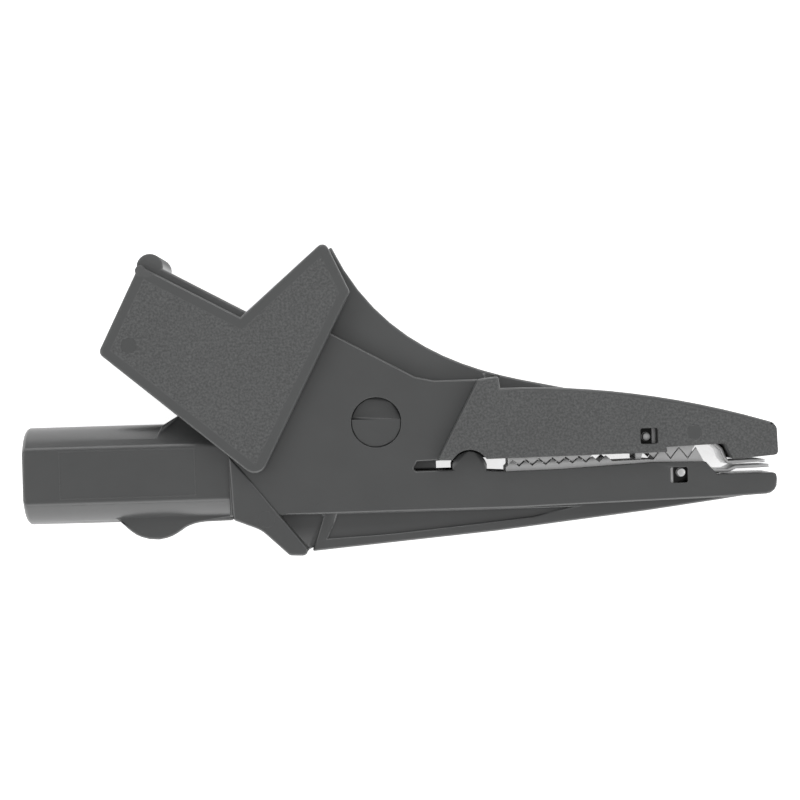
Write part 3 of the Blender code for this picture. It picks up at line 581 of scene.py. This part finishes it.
def nickel_finish():
    """Return nickel-plated sheet steel, rolled along the jaw, with painted shade that blackens the
    gaps round the windows' pips.
    """
    colour = bpy.context.scene.clip_colours.nickel
    finish = Finish("plated_steel")
    grain = finish.noise(ROLLED_SIZE * MM, roughness=0.6, stretch=(ROLLED_LENGTH, 1, 1))
    cloud = finish.noise(NICKEL_CLOUD * MM, detail=3.0)
    # Painted shade: the gaps round the pips are black and not metal, apart from an unshaded strip
    # beside each
    upper_painted_shade = painted_gap_shade(finish, UPPER_WINDOW, UPPER_PIP, 1)
    metal_outside_painted_shade = 1.0 - upper_painted_shade.most(painted_gap_shade(finish, LOWER_WINDOW, LOWER_PIP, -1))
    share = ((grain + cloud) * NICKEL_CONTRAST + NICKEL_TONE) * metal_outside_painted_shade
    finish.cover(
        {
            "Base Color": finish.blend(share, *shades(colour, NICKEL_SHADES)),
            "Metallic": metal_outside_painted_shade,
            "Roughness": NICKEL_ROUGHNESS + grain * ROLLED_ROUGHNESS + cloud * CLOUD_ROUGHNESS,
            "Normal": finish.bump(grain, ROLLED_DEPTH * MM),
        }
    )
    return finish.material


def contact_finish():
    """Return plated brass with the rings that turning leaves."""
    colour = bpy.context.scene.clip_colours.contact
    finish = Finish("plated_brass")
    rings = finish.noise(RING_SIZE * MM, detail=1.0, stretch=(1, RING_LENGTH, RING_LENGTH))
    cloud = finish.noise(BRASS_CLOUD * MM)
    finish.cover(
        {
            "Base Color": finish.blend(cloud, *shades(colour, BRASS_SHADES)),
            "Metallic": 1.0,
            "Roughness": BRASS_ROUGHNESS + rings * RING_ROUGHNESS,
            "Normal": finish.bump(rings, RING_DEPTH * MM),
        }
    )
    return finish.material


def wire_finish():
    """Return drawn spring wire."""
    colour = bpy.context.scene.clip_colours.wire
    finish = Finish("spring_wire")
    cloud = finish.noise(WIRE_CLOUD * MM, detail=3.0)
    scratch = finish.noise(SCRATCH_SIZE * MM)
    finish.cover(
        {
            "Base Color": finish.blend(cloud, *shades(colour, WIRE_SHADES)),
            "Metallic": 1.0,
            "Roughness": WIRE_ROUGHNESS + scratch * SCRATCH_ROUGHNESS,
            "Normal": finish.bump(scratch, SCRATCH_DEPTH * MM),
        }
    )
    return finish.material


def merged(node):
    """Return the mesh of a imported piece, its loose triangles joined."""
    shape = bmesh.new()
    shape.from_mesh(frame["nodes"][node].data)
    bmesh.ops.remove_doubles(shape, verts=shape.verts, dist=MERGE * MM)
    return shape


def skin_of(node, *changes):
    """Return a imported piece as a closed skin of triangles, its small forms changed."""
    shape = merged(node)
    # Where a short edge has gone, more faces can be joined, so both steps come twice
    for _ in range(2):
        bmesh.ops.dissolve_limit(
            shape, angle_limit=FLAT_BEND, verts=shape.verts, edges=shape.edges
        )
        bmesh.ops.dissolve_degenerate(shape, dist=SHORTEST_EDGE * MM, edges=shape.edges)
    for change in changes:
        change(shape)
    bmesh.ops.triangulate(
        shape, faces=shape.faces, quad_method="BEAUTY", ngon_method="BEAUTY"
    )
    return shape


def by_point(move):
    """Return a change of a shape from a function that moves one point, in millimetres."""

    def change(shape):
        for vert in shape.verts:
            vert.co = HINGE + Vector(move(*((vert.co - HINGE) / MM))) * MM

    return change


def is_close(size, other):
    """Return whether two sizes are the same, apart from rounding."""
    return abs(size - other) < CLOSE


@by_point
def form_body(x, y, z):
    """Move a point of the body to where the photograph shows its small forms."""
    side = 1 if z > 0 else -1
    if is_close(abs(z), RECESS_FLOOR) and y < RECESS_TOP:
        z = side * RECESS_SHALLOW
    if is_close(abs(z), HUMP_HALF) and y > HUMP_TOP and x < HUMP_FRONT:
        z = side * HUMP_HALF / 2
    from_ear = Vector((x, y)) - Vector(EAR)
    if y > EAR[1] and is_close(from_ear.length, EAR_RADIUS):
        x, y = Vector(EAR) + from_ear * (1 + EAR_GROWTH / EAR_RADIUS)
    if x > LOWER_TIP and y < LOWER_TEETH:
        x += TIP_GROWTH
    return x, y, z


def form_stop(shape):
    """Move the finger stop's points on each side onto its outline, in order from the rear."""
    for side in (1, -1):
        corners = []
        for vert in shape.verts:
            x, y, z = (vert.co - HINGE) / MM
            if is_close(z * side, STOP_HALF) and y < STOP_ROOT and x < STOP_FRONT:
                corners.append(vert)
        corners.sort(key=lambda vert: vert.co.x)
        for vert, place in zip(corners, STOP_OUTLINE, strict=True):
            vert.co.xy = from_hinge(place).xy


@by_point
def form_lever(x, y, z):
    """Move a point of the lever so that its bosses fill their holes and its nose is round."""
    radius = math.hypot(x, y)
    if abs(z) > BOSS_START and is_close(radius, BOSS_RADIUS):
        x *= 1 + BOSS_GROWTH / radius
        y *= 1 + BOSS_GROWTH / radius
    reach = Vector((x, y)) - Vector(NOSE_MIDDLE)
    if reach.x > 0 and reach.y > 0 and reach.length > NOSE_RADIUS:
        x, y = Vector(NOSE_MIDDLE) + reach.normalized() * NOSE_RADIUS
    return x, y, z


@by_point
def form_lower_insert(x, y, z):
    """Move a point of the lower insert so that its teeth are closer to the upper ones."""
    if TEETH_REAR < x < TEETH_FRONT and y > LOWER_TEETH:
        y += TEETH_CLOSE
    return x, y, z


@by_point
def form_upper_insert(x, y, z):
    """Move a point of the upper insert so that its teeth and lip are close to the lower ones."""
    if TEETH_REAR < x < TEETH_FRONT and y < UPPER_TEETH:
        y -= TEETH_CLOSE
    if LIP_BEND[0] < x < LIP_BEND[1] and abs(z) < LIP_HALF and y < LIP_TOP:
        x += LIP_SHIFT
    return x, y, z


def round_edges(shape, edges, width, steps):
    """Round some edges of a shape."""
    bmesh.ops.bevel(
        shape,
        geom=edges,
        offset=width,
        offset_type="OFFSET",
        segments=steps,
        profile=0.5,
        affect="EDGES",
        clamp_overlap=False,
        material=-1,
    )


def is_fine(edge):
    """Return whether an edge belongs to the hinge, the ears or the mouth."""
    places = [(vert.co - HINGE).xy / MM for vert in edge.verts]
    at_hinge = all(place.length < HINGE_REACH for place in places)
    at_ear = all((place - Vector(EAR)).length < EAR_REACH for place in places)
    in_mouth = all(place.x > MOUTH_REAR and MOUTH_LOW < place.y < MOUTH_TOP for place in places)
    return at_hinge or at_ear or in_mouth


def soften(shape, width, steps, fine_width=None):
    """Round the outer corners of a shape and mark its inner corners as sharp."""
    outer, fine = [], []
    for edge in shape.edges:
        if edge.calc_face_angle(0.0) < SHARP_BEND:
            continue
        if not edge.is_convex:
            edge.smooth = False
        elif fine_width is not None and is_fine(edge):
            fine.append(edge)
        else:
            outer.append(edge)
    round_edges(shape, outer, width, steps)
    if fine:
        round_edges(shape, [edge for edge in fine if edge.is_valid], fine_width, 1)
    for face in shape.faces:
        face.smooth = True


def edges_at(verts):
    """Return the edges that meet at some vertices."""
    return list({edge for vert in verts for edge in vert.link_edges})


def mark_middle(place, height, rise, side):
    """Return the middle of a mark that stands proud of a face, on the near or the far side."""
    middle = from_hinge(place, side * height)
    middle.z += side * (rise - MARK_ROOT * MM) / 2
    return middle


def add_disc(shape, place, radius, height, rise, side):
    """Add a flat round mark to a face."""
    made = bmesh.ops.create_cone(
        shape,
        cap_ends=True,
        segments=MARK_SIDES,
        radius1=radius * MM,
        radius2=radius * MM,
        depth=rise + MARK_ROOT * MM,
        matrix=Matrix.Translation(mark_middle(place, height, rise, side)),
    )
    rims = [edge for edge in edges_at(made["verts"]) if edge.calc_face_angle(0.0) > RIM_BEND]
    round_edges(shape, rims, rise * MARK_ROUND, 2)


def add_bar(shape, low, high, height, rise, side):
    """Add a thin flat bar to a face, between two corners."""
    low, high = Vector(low), Vector(high)
    size = Vector((*(high - low) * MM, rise + MARK_ROOT * MM))
    middle = mark_middle((low + high) / 2, height, rise, side)
    made = bmesh.ops.create_cube(
        shape, size=1.0, matrix=Matrix.LocRotScale(middle, None, size)
    )
    round_edges(shape, edges_at(made["verts"]), rise * BAR_ROUND, 2)


def add_label_frame(shape, line, rise, side):
    """Add the frame round the bare label place: two long bars, and two short ones between them."""
    (rear, low), (front, high) = LABEL_FRAME
    for start, end in (
        ((rear, low), (front, low + line)),
        ((rear, high - line), (front, high)),
        ((rear, low + line), (rear + line, high - line)),
        ((front - line, low + line), (front, high - line)),
    ):
        add_bar(shape, start, end, TUBE_FLAT, rise, side)


def face_height(node):
    """Return how far a piece's outer face lies from the hinge's middle, in millimetres."""
    low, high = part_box(node)
    return (high.z - low.z) / 2 / MM


def dress(name, shape, finish, body, node):
    """Make a piece from a shape, in place of a packed one."""
    mesh = bpy.data.meshes.new(name)
    shape.to_mesh(mesh)
    shape.free()
    piece = bpy.data.objects.new(name, mesh)
    bpy.context.scene.collection.objects.link(piece)
    mesh.materials.append(finish)
    even = piece.modifiers.new("Even shading", "WEIGHTED_NORMAL")
    even.keep_sharp = True
    even.weight = FACE_WEIGHT
    if body is not None:
        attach(piece, body)
    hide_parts(node)
    return piece


class CLIP_OT_body_moulding(bpy.types.Operator):
    """Dress the body moulding: tube, guard, cheeks and lower jaw"""

    bl_idname = "clip.body_moulding"
    bl_label = "Body moulding"

    def execute(self, context):
        sizes = context.scene.clip_sizes
        shape = skin_of("handle_body", form_body, form_stop)
        soften(shape, sizes.mould_round, sizes.round_steps, sizes.fine_round)
        rise, height = sizes.mark_rise, face_height("handle_body")
        for side in (1, -1):
            add_label_frame(shape, sizes.frame_line / MM, rise, side)
            add_disc(shape, GUARD_MARK, GUARD_MARK_RADIUS, height, rise, side)
        dress("body_moulding", shape, body_finish(), "body", "handle_body")
        return {"FINISHED"}


class CLIP_OT_lever_moulding(bpy.types.Operator):
    """Dress the lever moulding: side plates, thumb pad, web and upper jaw"""

    bl_idname = "clip.lever_moulding"
    bl_label = "Lever moulding"

    def execute(self, context):
        sizes = context.scene.clip_sizes
        shape = skin_of("thumb_lever", form_lever)
        bmesh.ops.dissolve_degenerate(shape, dist=MERGE * MM, edges=shape.edges)
        soften(shape, sizes.mould_round, sizes.round_steps, sizes.fine_round)
        rise, height = sizes.mark_rise, face_height("thumb_lever")
        for side in (1, -1):
            add_disc(shape, LEVER_MARK, LEVER_MARK_RADIUS, height, rise, side)
            add_disc(shape, JAW_MARK, JAW_MARK_RADIUS, height, rise, side)
        dress("lever_moulding", shape, lever_finish(), "lever", "thumb_lever")
        return {"FINISHED"}


class CLIP_OT_jaw_inserts(bpy.types.Operator):
    """Dress the two toothed steel inserts"""

    bl_idname = "clip.jaw_inserts"
    bl_label = "Jaw inserts"

    def execute(self, context):
        sizes = context.scene.clip_sizes
        nickel = nickel_finish()
        for node, name, body, form in (
            ("lower_jaw_insert", "lower_toothed_channel", "body", form_lower_insert),
            ("upper_jaw_insert", "upper_toothed_channel", "lever", form_upper_insert),
        ):
            shape = skin_of(node, form)
            soften(shape, sizes.sheet_round, 2)
            dress(name, shape, nickel, body, node)
        return {"FINISHED"}


class CLIP_OT_contact(bpy.types.Operator):
    """Dress the turned contact in the tube"""

    bl_idname = "clip.contact"
    bl_label = "Turned contact"

    def execute(self, context):
        sizes = context.scene.clip_sizes
        shape = skin_of("socket_contact")
        soften(shape, sizes.turned_round, 2)
        dress("turned_contact", shape, contact_finish(), "body", "socket_contact")
        return {"FINISHED"}


class CLIP_OT_spring(bpy.types.Operator):
    """Dress the torsion spring, which winds up between the body and the lever"""

    bl_idname = "clip.spring"
    bl_label = "Torsion spring"

    def execute(self, context):
        shape = merged("torsion_spring")
        for face in shape.faces:
            face.smooth = True
        spring = dress("wound_spring", shape, wire_finish(), None, "torsion_spring")
        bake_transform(spring)
        return {"FINISHED"}


def lamp(name, place, size, power):
    """Add a soft rectangular lamp that looks at the middle of the clip."""
    data = bpy.data.lights.new(name, "AREA")
    data.shape = "RECTANGLE"
    data.size, data.size_y = size
    data.energy = power
    light = bpy.data.objects.new(name, data)
    light.location = place
    light.rotation_euler = (-Vector(place)).to_track_quat("-Z", "Y").to_euler()
    bpy.context.scene.collection.objects.link(light)


def seen_directly(finish):
    """Return 1 for what the camera sees, straight or in a mirror or through glass."""
    path = finish.add("ShaderNodeLightPath")
    seen = Number(finish, path.outputs["Is Camera Ray"])
    seen = seen.most(Number(finish, path.outputs["Is Glossy Ray"]))
    return seen.most(Number(finish, path.outputs["Is Transmission Ray"]))


class CLIP_OT_stage(bpy.types.Operator):
    """Set up the white table, the soft light and the camera"""

    bl_idname = "clip.stage"
    bl_label = "Stage"

    def execute(self, context):
        scene = context.scene
        colour = scene.clip_colours.table
        self.lay_table(scene, colour)
        self.light_sky(scene, colour)
        for name, (place, size, power) in LAMPS.items():
            lamp(name, place, size, power)
        self.place_camera(scene)
        return {"FINISHED"}

    def lay_table(self, scene, colour):
        """Lay a wide white table under the clip."""
        shape = bmesh.new()
        bmesh.ops.create_grid(shape, x_segments=1, y_segments=1, size=TABLE_HALF)
        mesh = bpy.data.meshes.new("table")
        shape.to_mesh(mesh)
        shape.free()
        table = bpy.data.objects.new("table", mesh)
        scene.collection.objects.link(table)
        table.location.z = -TABLE_DROP
        finish = Finish("table_white")
        finish.cover({"Base Color": (*colour, 1.0), "Roughness": TABLE_ROUGHNESS})
        light = {"Color": (*colour, 1.0), "Strength": TABLE_GLOW}
        glow = finish.add("ShaderNodeEmission", {}, light)
        both = finish.add(
            "ShaderNodeAddShader", {}, {0: finish.shader.outputs[0], 1: glow.outputs[0]}
        )
        mix = finish.add(
            "ShaderNodeMixShader",
            {},
            {0: seen_directly(finish), 1: finish.shader.outputs[0], 2: both.outputs[0]},
        )
        output = finish.tree.nodes["Material Output"]
        finish.tree.links.new(mix.outputs[0], output.inputs["Surface"])
        mesh.materials.append(finish.material)

    def light_sky(self, scene, colour):
        """Fill the surroundings with plain white light."""
        sky = bpy.data.worlds.new("white_room")
        sky.use_nodes = True
        background = sky.node_tree.nodes["Background"]
        background.inputs["Color"].default_value = (*colour, 1.0)
        background.inputs["Strength"].default_value = SKY_STRENGTH
        scene.world = sky

    def place_camera(self, scene):
        """Look straight down on the clip, as the photograph does."""
        data = bpy.data.cameras.new("camera")
        data.sensor_width = SENSOR_WIDTH
        data.lens = SENSOR_WIDTH * CAMERA_DISTANCE / VIEW_WIDTH
        data.clip_start = NEAREST
        camera = bpy.data.objects.new("camera", data)
        height = face_height("thumb_lever") + CAMERA_DISTANCE / MM
        camera.location = from_hinge(VIEW_MIDDLE, height)
        camera.rotation_euler = (0.0, 0.0, VIEW_TURN)
        scene.collection.objects.link(camera)
        scene.camera = camera
        scene.view_settings.view_transform = "Standard"


class CLIP_PT_finish(bpy.types.Panel):
    """Lists the clip's pieces, sizes and colours"""

    bl_idname = "CLIP_PT_finish"
    bl_label = "Crocodile clip"
    bl_space_type = "VIEW_3D"
    bl_region_type = "UI"
    bl_category = "Clip"

    def draw(self, context):
        layout = self.layout
        for operator in PIECE_OPERATORS:
            layout.operator(operator.bl_idname)
        for group in (context.scene.clip_sizes, context.scene.clip_colours):
            box = layout.box()
            for name in group.bl_rna.properties.keys():
                if name not in ("rna_type", "name"):
                    box.prop(group, name)


PIECE_OPERATORS = (
    CLIP_OT_body_moulding,
    CLIP_OT_lever_moulding,
    CLIP_OT_jaw_inserts,
    CLIP_OT_contact,
    CLIP_OT_spring,
    CLIP_OT_stage,
)
CLASSES = (ClipSizes, ClipColours, *PIECE_OPERATORS, CLIP_PT_finish)


def register():
    """Add the properties, operators and panel."""
    for kind in CLASSES:
        bpy.utils.register_class(kind)
    bpy.types.Scene.clip_sizes = PointerProperty(type=ClipSizes)
    bpy.types.Scene.clip_colours = PointerProperty(type=ClipColours)


def unregister():
    """Take the properties, operators and panel away."""
    del bpy.types.Scene.clip_colours
    del bpy.types.Scene.clip_sizes
    for kind in reversed(CLASSES):
        bpy.utils.unregister_class(kind)


def main():
    """Add the properties, dress every piece and set up the stage."""
    register()
    bpy.ops.clip.body_moulding()
    bpy.ops.clip.lever_moulding()
    bpy.ops.clip.jaw_inserts()
    bpy.ops.clip.contact()
    bpy.ops.clip.spring()
    bpy.ops.clip.stage()


if __name__ == "__main__":
    main()
